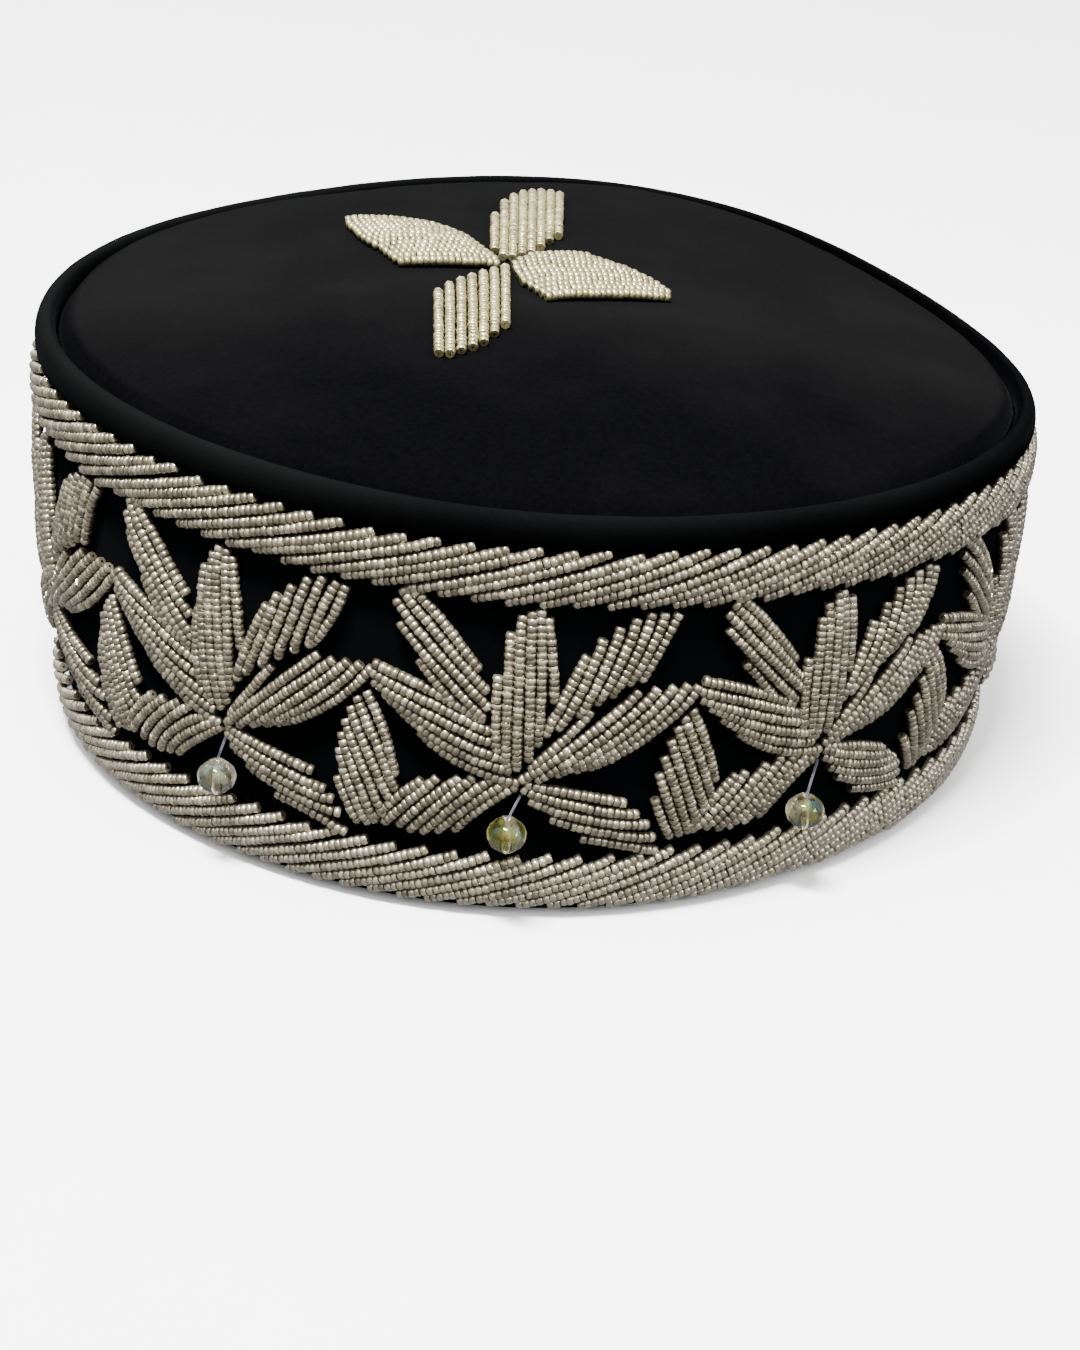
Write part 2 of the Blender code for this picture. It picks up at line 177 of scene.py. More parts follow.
# Strings of the crown's petals: start and end of each, as shares of the seam
# radius to the right and back of the crown's middle
PETAL_STRINGS = {
    "left": (
        (-0.467, 0.330, -0.332, 0.346),
        (-0.460, 0.292, -0.258, 0.321),
        (-0.445, 0.258, -0.227, 0.285),
        (-0.434, 0.224, -0.199, 0.253),
        (-0.418, 0.191, -0.181, 0.222),
        (-0.397, 0.159, -0.164, 0.192),
        (-0.376, 0.128, -0.149, 0.164),
        (-0.361, 0.098, -0.133, 0.136),
        (-0.347, 0.068, -0.119, 0.108),
        (-0.332, 0.046, -0.113, 0.084),
    ),
    "right": (
        (-0.050, 0.141, 0.085, 0.179),
        (-0.085, 0.091, 0.128, 0.156),
        (-0.080, 0.051, 0.167, 0.140),
        (-0.071, 0.014, 0.201, 0.118),
        (-0.062, -0.023, 0.224, 0.092),
        (-0.040, -0.055, 0.245, 0.063),
        (-0.021, -0.082, 0.260, 0.035),
        (-0.009, -0.100, 0.260, 0.006),
    ),
    "front": (
        (-0.236, -0.115, -0.217, -0.457),
        (-0.217, -0.082, -0.197, -0.460),
        (-0.198, -0.048, -0.179, -0.444),
        (-0.179, -0.020, -0.160, -0.430),
        (-0.159, 0.004, -0.141, -0.404),
        (-0.139, 0.023, -0.124, -0.381),
        (-0.119, 0.042, -0.106, -0.335),
        (-0.099, 0.062, -0.088, -0.291),
    ),
    "back": (
        (-0.126, 0.170, -0.133, 0.444),
        (-0.106, 0.133, -0.115, 0.552),
        (-0.086, 0.130, -0.095, 0.631),
        (-0.066, 0.148, -0.074, 0.668),
        (-0.046, 0.169, -0.052, 0.692),
        (-0.026, 0.215, -0.031, 0.703),
        (-0.007, 0.263, -0.009, 0.700),
        (0.014, 0.306, 0.014, 0.685),
    ),
}

# Hand work: how far a spray's hub lies off its place, across and up, by number
HUB = (0.000, 0.340)
HUB_REACH = 0.4
HUB_SHIFTS = {0: (-0.018, -0.022), 9: (-0.004, -0.034)}

# Cross-section of the roll as cloth, with a lip behind the ends of the strings
ROLL_SECTION = (
    (1.00, -0.35),
    (0.93, 0.25),
    (0.62, 0.78),
    (0.06, 1.00),
    (-0.52, 0.80),
    (-0.80, 0.20),
    (-0.74, -0.70),
    (-0.10, -1.02),
    (0.30, -1.14),
    (0.70, -1.20),
    (0.92, -0.92),
)

random = np.random.default_rng(12)


def waves(table, angle):
    """Sum of a table's waves at angles round the cap."""
    return sum(c * np.cos(n * angle) + s * np.sin(n * angle) for n, c, s in table)


def rises(angle):
    """Shares by which the cap is higher at angles."""
    high = waves(RISE_WAVES, angle)
    for turn, width, dip in RISE_DIPS:
        away = (angle / (2 * pi) - turn + 0.5) % 1 - 0.5
        high = high - dip * np.maximum(0.0, 1 - (away / width) ** 2) ** 2
    return high


def leaning_spots(angle, radius, height, fade=1.0):
    """Points of the uneven, leaning cap, before it is centred."""
    z = height * (1 + fade * rises(angle))
    reach = radius * (1 + waves(PLAN_WAVES, angle))
    return np.stack([reach * np.cos(angle) + LEAN[0] * z, reach * np.sin(angle) + LEAN[1] * z, z], -1)


def band_radius(height):
    """Outer radius of the cloth band at heights."""
    below = np.clip(1 - height / BAND_HEIGHT, 0, 1)
    return BAND_RADIUS * (1 - HEM_TAPER * below ** TAPER_POWER)


def widest_middle():
    """Middle of the part's outline, seen from above, found as the part does."""
    sides = 60
    spots = []
    for step in range(sides):
        for share in (0.0, 0.14, 0.5, 0.86):
            height = TOP_BORDER_LOW + share * TOP_BORDER_HEIGHT
            spots.append(leaning_spots(2 * pi * step / sides, band_radius(height) + RELIEF, height))
    for side, spray, across, up in CRYSTALS:
        height = FIELD_LOW + up * FIELD_HEIGHT
        angle = FRONT + (spray + across) * SPRAY_TURN
        middle = leaning_spots(angle, band_radius(height) + GAP + CRYSTAL_WIDTH / 2, height)
        for sign in (-1, 1):
            spots.append(middle + np.array([sign, sign, 0]) * CRYSTAL_WIDTH / 2)
    spots = np.array(spots)
    middle = (spots.min(0) + spots.max(0)) / 2
    return np.array([middle[0], middle[1], 0.0])


MIDDLE = widest_middle()


def spots(angle, radius, height, fade=1.0):
    """Points of the cap in its final place."""
    return leaning_spots(angle, radius, height, fade) - MIDDLE


def band_spots(across, up, lift):
    """Points over the band by shares of a spray's turn and the field's height."""
    height = FIELD_LOW + up * FIELD_HEIGHT
    angle = FRONT + across * SPRAY_TURN
    return spots(angle, band_radius(height) + lift, height)


def crown_heights(share, angle):
    """Heights of the crown's outer face at shares of the seam radius."""
    rows = sorted(CROWN_PROFILE + ((0.0, 1.0),))
    rise = np.interp(share, [r[0] for r in rows], [r[1] for r in rows])
    for turn, distance, spread, swell in CROWN_SWELLS:
        dx = share * np.cos(angle) - distance * cos(2 * pi * turn)
        dy = share * np.sin(angle) - distance * sin(2 * pi * turn)
        near = np.maximum(0.0, 1 - (np.hypot(dx, dy) / spread) ** 2)
        rise = rise + swell * near ** 2
    return SEAM_HEIGHT + CROWN_RISE * rise


def crown_spots(share, angle, lift):
    """Points over the crown panel's outer face."""
    edge = SEAM_RADIUS - GAP / 2
    return spots(angle, share * edge, crown_heights(share, angle) + lift, fade=share)


def petal_spots(right, back, lift):
    """Points over the crown by shares of the seam radius."""
    angle = np.arctan2(back, right)
    share = np.hypot(right, back) / (1 + waves(PLAN_WAVES, angle))
    return crown_spots(share, angle, lift)


def unit(v):
    """Vectors of length one."""
    return v / np.maximum(np.linalg.norm(v, axis=-1, keepdims=True), 1e-12)


def square_to(along, out):
    """The directions out, turned square to the directions along."""
    return unit(out - along * (out * along).sum(-1, keepdims=True))


def mesh_object(name, vertices, faces, finish, smooth=True):
    """Object from arrays of vertices and faces of as many corners."""
    mesh = bpy.data.meshes.new(name)
    faces = np.asarray(faces, np.int32)
    count, corners = faces.shape
    mesh.vertices.add(len(vertices))
    mesh.vertices.foreach_set("co", np.asarray(vertices, np.float32).ravel())
    mesh.loops.add(count * corners)
    mesh.loops.foreach_set("vertex_index", faces.ravel())
    mesh.polygons.add(count)
    mesh.polygons.foreach_set("loop_start", np.arange(0, count * corners, corners, dtype=np.int32))
    mesh.update(calc_edges=True)
    mesh.validate()
    if smooth:
        mesh.shade_smooth()
    mesh.materials.append(finish)
    made = bpy.data.objects.new(name, mesh)
    bpy.context.scene.collection.objects.link(made)
    return made


# Materials


class Nodes:
    """Short way to build a material's node tree."""

    def __init__(self, name):
        self.material = bpy.data.materials.new(name)
        self.material.use_nodes = True
        self.tree = self.material.node_tree
        self.shader = self.tree.nodes["Principled BSDF"]

    def add(self, kind, settings=None, inputs=None):
        node = self.tree.nodes.new(kind)
        for key, value in (settings or {}).items():
            setattr(node, key, value)
        for key, value in (inputs or {}).items():
            self.put(node.inputs[key], value)
        return node

    def put(self, socket, value):
        if isinstance(value, bpy.types.NodeSocket):
            self.tree.links.new(value, socket)
        else:
            socket.default_value = value

    def set(self, **values):
        for key, value in values.items():
            self.put(self.shader.inputs[key.replace("_", " ")], value)

    def place(self):
        return self.add("ShaderNodeTexCoord").outputs["Object"]

    def tone(self):
        return self.add("ShaderNodeAttribute", {"attribute_name": "tone"}).outputs["Fac"]

    def noise(self, scale, detail, rough):
        made = self.add("ShaderNodeTexNoise", None, {
            "Vector": self.place(), "Scale": scale, "Detail": detail, "Roughness": rough})
        return made.outputs["Fac"]

    def ramp(self, factor, *stops):
        node = self.add("ShaderNodeValToRGB", None, {"Fac": factor})
        ramp = node.color_ramp
        while len(ramp.elements) < len(stops):
            ramp.elements.new(0.5)
        for element, (at, colour) in zip(ramp.elements, stops):
            element.position = at
            element.color = (*colour, 1) if len(colour) == 3 else colour
        return node.outputs["Color"]

    def math(self, operation, *values):
        return self.add("ShaderNodeMath", {"operation": operation}, dict(enumerate(values))).outputs[0]

    def mix(self, factor, a, b):
        node = self.add("ShaderNodeMix", {"data_type": "RGBA"})
        self.put(node.inputs[0], factor)
        self.put(node.inputs[6], a)
        self.put(node.inputs[7], b)
        return node.outputs[2]

    def span(self, value, low, high, to_low, to_high):
        node = self.add("ShaderNodeMapRange", None, {
            "Value": value, "From Min": low, "From Max": high, "To Min": to_low, "To Max": to_high})
        return node.outputs["Result"]

    def bump(self, height, strength, distance):
        node = self.add("ShaderNodeBump", None, {
            "Height": height, "Strength": strength, "Distance": distance})
        return node.outputs["Normal"]


# Colours that several materials share, and the depths of their grain
LINT = (0.012, 0.012, 0.012, 1)
TARNISH = (0.105, 0.085, 0.050, 1)
PILE_DEPTH = 0.0003
BEAD_GRAIN_DEPTH = 0.0002


def velvet(name, dark, light, sheen):
    """Short pile cloth with a soft edge sheen; the mesh's tone paints light and shade into its colour,
    lighter where light falls and darker in shade.
    """
    n = Nodes(name)
    clouds = n.noise(26, 4, 0.6)
    nap = n.noise(900, 4, 0.7)
    pile = n.noise(4200, 2, 0.6)
    # Random clouds plus the mesh's tone, which carries painted light and shade
    clouds_and_painted_light = n.math("ADD", n.span(clouds, 0.3, 0.7, -0.13, 0.13), n.tone())
    colour = n.ramp(clouds_and_painted_light, (0.0, dark), (1.0, light))
    colour = n.mix(n.span(nap, 0.3, 0.7, 0.0, 0.12), colour, (*[c * 1.2 for c in light], 1))
    cells = n.add("ShaderNodeTexVoronoi", None, {"Vector": n.place(), "Scale": 34.0})
    lint = n.span(cells.outputs["Distance"], 0.008, 0.016, 1.0, 0.0)
    chance = n.add("ShaderNodeSeparateColor", None, {"Color": cells.outputs["Color"]}).outputs["Red"]
    few = n.math("LESS_THAN", chance, 0.3)
    colour = n.mix(n.math("MULTIPLY", lint, few), colour, LINT)
    n.set(Base_Color=colour, Roughness=n.span(nap, 0.3, 0.7, 0.72, 0.9), Specular_IOR_Level=0.0,
          Sheen_Weight=sheen, Sheen_Roughness=0.35, Sheen_Tint=(0.62, 0.66, 0.72, 1))
    coarse, fine = (n.ramp(grain, (0.2, (0, 0, 0)), (0.8, (1, 1, 1))) for grain in (nap, pile))
    n.set(Normal=n.bump(n.mix(0.4, coarse, fine), 0.35, PILE_DEPTH))
    return n.material


def silver_beads(name, dark, middle, light, coat):
    """Glass seed beads with a silver lining, each one a little different."""
    n = Nodes(name)
    tone = n.tone()
    colour = n.ramp(tone, (0.0, dark), (0.5, middle), (1.0, light))
    grain = n.noise(1300, 3, 0.6)
    colour = n.mix(n.span(grain, 0.38, 0.62, 0.0, 0.55), colour, TARNISH)
    n.set(Base_Color=colour, Metallic=0.75, Roughness=n.span(tone, 0, 1, 0.36, 0.24),
          Coat_Weight=coat, Coat_Roughness=0.11, Coat_IOR=1.7, Normal=n.bump(grain, 0.35, BEAD_GRAIN_DEPTH))
    return n.material


def crystal_glass(name):
    """Clear crystal with a coloured film, olive to clear to rosy by its tone."""
    n = Nodes(name)
    film = n.noise(420, 2, 0.5)
    blend = n.mix(0.75, n.span(film, 0.3, 0.7, 0.1, 0.9), n.tone())
    colour = n.ramp(blend, (0.15, (0.27, 0.26, 0.02)), (0.42, (0.42, 0.38, 0.10)), (0.58, (0.62, 0.61, 0.56)),
                    (0.85, (0.36, 0.20, 0.17)))
    n.set(Base_Color=colour, Roughness=n.span(film, 0.3, 0.7, 0.0, 0.05), IOR=1.56,
          Transmission_Weight=n.span(film, 0.4, 0.6, 0.90, 1.0), Coat_Weight=0.3, Coat_Roughness=0.02,
          Thin_Film_Thickness=420.0, Thin_Film_IOR=1.35)
    return n.material


def nylon(name):
    """Clear thread that looks greyish violet over the cloth."""
    n = Nodes(name)
    grain = n.noise(2000, 2, 0.5)
    colour = n.ramp(grain, (0.3, (0.09, 0.08, 0.12)), (0.7, (0.17, 0.16, 0.21)))
    n.set(Base_Color=colour, Roughness=0.3, Transmission_Weight=0.35, IOR=1.5, Coat_Weight=0.3)
    return n.material


def paper(name):
    """Plain pale floor."""
    n = Nodes(name)
    grain = n.noise(40, 4, 0.6)
    colour = n.ramp(grain, (0.3, (0.905, 0.905, 0.905)), (0.7, (0.925, 0.925, 0.925)))
    n.set(Base_Color=colour, Roughness=0.9, Specular_IOR_Level=0.1)
    return n.material


CROWN_CLOTH = velvet("crown_velvet", (0.0006, 0.0006, 0.0008), (0.0043, 0.0043, 0.0042), 0.008)
ROLL_CLOTH = velvet("roll_velvet", (0.0002, 0.0002, 0.0003), (0.0030, 0.0032, 0.0032), 0.005)
BAND_CLOTH = velvet("band_velvet", (0.0008, 0.0010, 0.0012), (0.0021, 0.0025, 0.0030), 0.010)
BEADS = silver_beads("silver_beads", (0.105, 0.086, 0.054), (0.245, 0.212, 0.138), (0.56, 0.50, 0.37), 1.0)
# The petals' beads: a warmer, lighter copy of the bead colours, painted warm light on the crown
CROWN_BEADS_WARM_LIT = silver_beads("crown_beads_painted_warm_light", (0.19, 0.165, 0.07), (0.35, 0.31, 0.15), (0.55, 0.50, 0.27), 0.4)
GLASS = crystal_glass("crystal_glass")
NYLON = nylon("nylon")


# Beads

BEAD_SIDES = 7
BEAD_ROWS = ((-0.50, 0.26), (-0.485, 0.87), (0.0, 1.0), (0.485, 0.87), (0.50, 0.26))
BEAD_LIFT = BEAD_WIDTH * 0.46       # height of a string's middle line over the cloth, without its padding
BEAD_STRAY = 0.00004
BEAD_TILT = 0.07
BEAD_TONES = 0.24
WIDTHS = (0.96, 1.04)
LENGTHS = (0.97, 1.04)
STRING_POINTS = 25
LOOK_AHEAD = 0.0003                 # distance along a string over which its direction is taken
OUTWARD = 0.001                     # distance off the cloth over which the outward direction is taken


def bead_shape():
    """Vertices (along, across, out) and faces of a seed bead of length and width one."""
    vertices = []
    for along, reach in BEAD_ROWS:
        for i in range(BEAD_SIDES):
            turn = 2 * pi * i / BEAD_SIDES
            vertices.append((along, reach * cos(turn) / 2, reach * sin(turn) / 2))
    faces = []
    for row in range(len(BEAD_ROWS) - 1):
        for i in range(BEAD_SIDES):
            j = (i + 1) % BEAD_SIDES
            a = row * BEAD_SIDES
            b = a + BEAD_SIDES
            faces.append((a + i, b + i, b + j, a + j))
    return np.array(vertices), np.array(faces)


BEAD_VERTICES, BEAD_FACES = bead_shape()


def string_beads(points, outs):
    """Places of the beads on a string: their middles, and their directions along it and outward."""
    steps = np.linalg.norm(np.diff(points, axis=0), axis=1)
    run = np.concatenate([[0], np.cumsum(steps)])
    count = max(2, int(round(run[-1] / BEAD_PITCH)))
    at = (np.arange(count) + 0.5) / count * run[-1]

    def value(places, table):
        return np.stack([np.interp(places, run, table[:, k]) for k in range(3)], -1)
    along = unit(value(at + LOOK_AHEAD, points) - value(at - LOOK_AHEAD, points))
    return value(at, points), along, square_to(along, value(at, outs))


def toned(made, tones):
    """The mesh with its tone, from 0 to 1, at each vertex."""
    attribute = made.data.attributes.new("tone", "FLOAT", "POINT")
    attribute.data.foreach_set("value", np.clip(tones, 0, 1).ravel().astype(np.float32))
    return made


def bead_object(name, strings, tone, finish):
    """All the beads of many strings as one mesh, of about one tone."""
    middle, along, out = (np.concatenate(rows) for rows in zip(*strings))
    count = len(middle)
    middle = middle + random.normal(0, BEAD_STRAY, (count, 3))
    along = unit(along + random.normal(0, BEAD_TILT, (count, 3)))
    out = square_to(along, out)
    side = np.cross(along, out)
    width = BEAD_WIDTH * random.uniform(*WIDTHS, count)
    length = BEAD_PITCH * random.uniform(*LENGTHS, count)
    v = BEAD_VERTICES
    spin = random.uniform(0, 2 * pi, count)
    c, s = np.cos(spin)[:, None], np.sin(spin)[:, None]
    y = v[None, :, 1] * c - v[None, :, 2] * s
    z = v[None, :, 1] * s + v[None, :, 2] * c
    points = (middle[:, None]
              + along[:, None] * (v[None, :, 0] * length[:, None])[..., None]
              + side[:, None] * (y * width[:, None])[..., None]
              + out[:, None] * (z * width[:, None])[..., None])
    faces = BEAD_FACES[None] + (np.arange(count) * len(v))[:, None, None]
    made = mesh_object(name, points.reshape(-1, 3), faces.reshape(-1, 4), finish)
    held = made.data.attributes
    flat = held.get("sharp_face") or held.new("sharp_face", "BOOLEAN", "FACE")
    flat.data.foreach_set("value", np.tile(np.repeat([True, False, False, True], BEAD_SIDES), count))
    return toned(made, np.repeat(random.normal(tone, BEAD_TONES, count), len(v)))


def arched(share, rise):
    """Lift along a string: low at both ends, padded in the middle."""
    return rise * (1 - np.abs(2 * share - 1) ** 4)


def leaf_string(place, chart, cross):
    """One string through start, middle and end; cross is its place in the leaf, -1 to 1."""
    x0, y0, x1, y1, x2, y2 = chart
    share = np.linspace(0, 1, STRING_POINTS)
    curve = [(1 - share) * (1 - 2 * share), 4 * share * (1 - share), share * (2 * share - 1)]
    across = curve[0] * x0 + curve[1] * x1 + curve[2] * x2
    up = curve[0] * y0 + curve[1] * y1 + curve[2] * y2
    lift = BEAD_LIFT + arched(share, PAD * (1 - EDGE_PAD_LOSS * cross ** 2))
    points = place(across, up, lift)
    return string_beads(points, place(across, up, lift + OUTWARD) - points)


def side_by_side(charts, scale):
    """The same leaf with its strings touching: their places across it evenly spaced.

    scale turns the chart's two shares into metres."""
    chart = np.array(charts)
    points = chart.reshape(-1, 3, 2) * scale
    heading = unit((points[:, 2] - points[:, 0]).mean(0))
    beside = np.array([-heading[1], heading[0]])
    place = points[:, 1] @ beside
    order = np.argsort(place)
    place, chart = place[order], chart[order]
    ends = max(np.ptp(points[:, 0] @ beside), np.ptp(points[:, 2] @ beside))
    width = max(place[-1] - place[0], 0.93 * ends)
    count = max(3, int(round(width / STRING_SPACING)) + 1)
    even = np.linspace(place[0], place[-1], count)
    return np.stack([np.interp(even, place, chart[:, k]) for k in range(6)], -1)


def leaf(place, charts, scale):
    """Strings of a leaf, side by side."""
    charts = side_by_side(charts, np.array(scale))
    count = len(charts)
    return [leaf_string(place, chart, 2 * i / (count - 1) - 1) for i, chart in enumerate(charts)]


FIELD_SCALE = (BAND_RADIUS * SPRAY_TURN, FIELD_HEIGHT)
CHART_STRAY = 0.005


def jittered(charts, number):
    """The chart with small differences, as hand work has; spray 0 keeps it as it is."""
    amount = CHART_STRAY if number else 0.0
    return [tuple(c + random.normal(0, amount) for c in chart) for chart in charts]


def hub_shift(number, across, up):
    """How far hand work moves a spot of this spray, most at its hub."""
    shift = HUB_SHIFTS.get(number, (0, 0))
    near = np.maximum(0.0, 1 - np.hypot(across - HUB[0], up - HUB[1]) / HUB_REACH) ** 1.5
    return shift[0] * near, shift[1] * near


def spray_strings(number):
    """Strings of the spray with this number."""
    def place(across, up, lift):
        right, higher = hub_shift(number, across, up)
        return band_spots(number + across + right, up + higher, lift)
    made = []
    for charts in SPRAY_STRINGS.values():
        made += leaf(place, jittered(charts, number), FIELD_SCALE)
    return made


def bud_strings(number):
    """Strings of the bud after the spray with this number."""
    def place(across, up, lift):
        return band_spots(number + across, up, lift)
    return leaf(place, jittered(BUD_STRINGS, number), FIELD_SCALE)


def border_strings(low, high):
    """Slanting strings side by side round the band."""
    made = []
    share = np.linspace(0, 1, STRING_POINTS)
    for i in range(BORDER_STRINGS):
        start = 2 * pi * i / BORDER_STRINGS + random.normal(0, BORDER_ANGLE_STRAY)
        ends = random.normal(0, BORDER_END_STRAY, 2)
        height = low + ends[0] + share * (high - low + ends[1] - ends[0])
        angle = start + share * BORDER_TURN
        reach = band_radius(height) + BEAD_LIFT + arched(share, PAD)
        points = spots(angle, reach, height)
        made.append(string_beads(points, spots(angle, reach + OUTWARD, height) - points))
    return made


def petal_strings(charts):
    """Strings of a petal on the crown."""
    full = []
    for x0, y0, x1, y1 in charts:
        full.append((x0, y0, (x0 + x1) / 2, (y0 + y1) / 2, x1, y1))
    return leaf(petal_spots, full, (SEAM_RADIUS, SEAM_RADIUS))


def finish_piece(obj, slot, *nodes):
    """The piece rides on the cap and stands for these nodes."""
    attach(obj, "root")
    if nodes:
        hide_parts(*nodes)
    return obj


def bead_piece(name, node, strings, tone=0.5, finish=BEADS):
    """Strings of beads that stand for one node."""
    finish_piece(bead_object(name, strings, tone, finish), "silver_beads", node)


INSET = BEAD_WIDTH * 0.3            # from a border's edge to the middle of its end beads
bead_piece("top_border_beads", "top_border",
           border_strings(TOP_BORDER_LOW + INSET, BAND_HEIGHT - GAP - INSET))
# The bottom border's beads take the lightest tone: painted light, for the floor's bounce on the lower border
bead_piece("bottom_border_beads", "bottom_border",
           border_strings(HEM_SHOWS + INSET, FIELD_LOW - INSET), 1.0)
for number in range(SPRAYS):
    label = f"{number + 1:02d}"
    bead_piece(f"spray_beads_{label}", f"spray_{label}", spray_strings(number))
    bead_piece(f"bud_beads_{label}", f"bud_{label}", bud_strings(number))
for name, charts in PETAL_STRINGS.items():
    bead_piece(f"petal_beads_{name}", f"petal_{name}", petal_strings(charts), 0.5, CROWN_BEADS_WARM_LIT)


# Cloth

AROUND = 360
HEM_TUCK = 0.0006                   # how far the hem's edge draws in, over the tuck's height
HEM_TUCK_HEIGHT = 0.0009
BAND_DENTS = 0.00010
ROLL_POINTS = 36
SEAM_TUCK = 0.0007
TUCK_SHARE = 0.972                  # the crown draws down to its seam from this share of the radius


def grid_faces(rows, columns):
    """Quads of a grid that closes on itself both ways."""
    i, j = np.meshgrid(np.arange(rows), np.arange(columns), indexing="ij")
    a = i * columns + j
    b = i * columns + (j + 1) % columns
    c = ((i + 1) % rows) * columns + (j + 1) % columns
    d = ((i + 1) % rows) * columns + j
    return np.stack([a, b, c, d], -1).reshape(-1, 4)


def ripples(angle, seed, strength, low=5, high=40):
    """Smooth random unevenness round the cap."""
    made = np.zeros_like(angle)
    local = np.random.default_rng(seed)
    for n in range(low, high):
        made = made + local.normal() * np.cos(n * angle + local.uniform(0, 2 * pi)) / n ** 0.8
    return strength * made / 1.2


def cloth_object(name, rows, tones, finish):
    """Cloth piece from rows of points round the cap, the last row joined to the first."""
    rows = np.array(rows)
    made = mesh_object(name, rows.reshape(-1, 3), grid_faces(len(rows), AROUND), finish)
    return toned(made, np.array(tones))


def hem_tuck(height):
    """How far the band's edge draws in at this height."""
    return HEM_TUCK * max(0.0, 1 - height / HEM_TUCK_HEIGHT) ** 2


def side_band():
    """Upright cloth wall."""
    angle = np.linspace(0, 2 * pi, AROUND, endpoint=False)
    even = np.linspace(0.003, BAND_HEIGHT - 0.001, 44)
    outer = np.concatenate([[0.0, 0.0004, 0.0012], even, [BAND_HEIGHT]])
    rows = []
    for height in outer:
        dent = ripples(angle + 3 * height, 3, BAND_DENTS) * min(1, height / 0.01)
        rows.append(spots(angle, band_radius(height) - hem_tuck(height) + dent, height + 0 * angle))
    for height in outer[::-1]:
        rows.append(spots(angle, band_radius(height) - BAND_WALL + hem_tuck(height), height + 0 * angle))
    return cloth_object("side_band_cloth", rows, [0 * angle + 0.5] * len(rows), BAND_CLOTH)


def closed_curve(points, count):
    """Smooth closed curve through points."""
    points = np.array(points)
    total = len(points)
    at = np.arange(count) / count * total
    first = at.astype(int)
    part = (at - first)[:, None]
    a, b, c, d = (points[(first + k) % total] for k in (-1, 0, 1, 2))
    return 0.5 * (2 * b + (c - a) * part + (2 * a - 5 * b + 4 * c - d) * part ** 2
                  + (3 * b - a - 3 * c + d) * part ** 3)


def roll():
    """Padded roll with small puckers along the seam, which sags down to the border."""
    angle = np.linspace(0, 2 * pi, AROUND, endpoint=False)
    radius = SEAM_RADIUS + GAP / 2 + ROLL_WIDTH / 2
    middle = ROLL_BOTTOM + ROLL_HEIGHT / 2
    rows, tones = [], []
    for across, up in closed_curve(ROLL_SECTION, ROLL_POINTS):
        swell = 1 + ripples(angle, 5, 0.025) + ripples(angle, 6, 0.02, 60, 90) * max(0.0, up - 0.2)
        sag = 1 + ripples(angle, 7, 0.04, 3, 14) * max(0.0, -up)
        reach = radius + across * swell * ROLL_WIDTH / 2
        rows.append(spots(angle, reach, middle + up * sag * swell * ROLL_HEIGHT / 2))
        # Painted light and shade: the roll's top and its left side are painted lighter, its inner side by the
        # seam darker as shade; the ripples are random unevenness
        inside = max(0.0, -across - 0.15)
        tones.append(0.31 + 0.28 * up - 0.9 * inside - 0.30 * np.cos(angle) + ripples(angle, 11, 0.05, 2, 20))
    return cloth_object("crown_roll_cloth", rows, tones, ROLL_CLOTH)


def crown():
    """Domed panel with puckers at the seam and shallow dents."""
    angle = np.linspace(0, 2 * pi, AROUND, endpoint=False)
    shares = np.concatenate([[1.0, 0.995, 0.99, 0.98, 0.965], np.linspace(0.95, 0.02, 46)])
    rows, tones = [], []
    for share in shares:
        near = max(0.0, (share - 0.80) / 0.2)
        pucker = ripples(angle, 8, 0.00016, 30, 80) * near ** 2 + ripples(angle, 9, 0.0003, 3, 9) * share ** 3
        tuck = SEAM_TUCK * max(0.0, (share - TUCK_SHARE) / (1 - TUCK_SHARE)) ** 1.5
        rows.append(crown_spots(share, angle, pucker - tuck))
        # Painted light and shade: the front, which slopes away from the light, is painted darker, the left
        # and right edges lighter as sheen, and the seam groove dark as shade
        front = np.clip((-share * np.sin(angle) - 0.10) / 0.75, 0, 1)
        left = np.clip(-share * np.cos(angle) - 0.45, 0, 1)
        right = np.clip(share * np.cos(angle) - 0.5, 0, 1)
        seam = max(0.0, share - 0.965) / 0.035
        tones.append(0.52 + 0.11 * left + 0.05 * right - 0.52 * front * (2 - front) - 0.8 * seam)
    for share in shares[::-1]:
        rows.append(crown_spots(share, angle, -CROWN_WALL))
        tones.append(0 * angle + 0.3)
    return cloth_object("crown_panel_cloth", rows, tones, CROWN_CLOTH)


finish_piece(side_band(), "black_cloth", "side_band")
roll_piece = finish_piece(roll(), "black_cloth", "crown_roll")
finish_piece(crown(), "black_cloth", "crown_panel")


# Crystals and threads

# Each crystal as it hangs: spray, place across and up, its tone and how much the
# tone turns from left to right
HANGING = (
    (-1, -0.006, 0.102, 0.60, 0.10),
    (0, -0.049, 0.121, 0.38, 0.36),
    (1, -0.060, 0.092, 0.50, -0.12),
)
SHOWN_WIDTH = 0.0077
SHOWN_HEIGHT = 0.0063
CRYSTAL_SIDES = 12
BORE_TONE = 0.58
BORE = 0.16                         # the bore's share of the crystal's width
# Share of the half height, share of the half width and turn in sides
CRYSTAL_RINGS = (
    (1.00, BORE, 0.0),
    (1.00, 0.44, 0.0),
    (0.52, 0.88, 0.5),
    (0.10, 1.00, 0.0),
    (-0.10, 1.00, 0.0),
    (-0.52, 0.88, 0.5),
    (-1.00, 0.44, 0.0),
    (-1.00, BORE, 0.0),
)
THREAD_WIDTH = 0.00025
STRAND_OFFSET = 0.00014


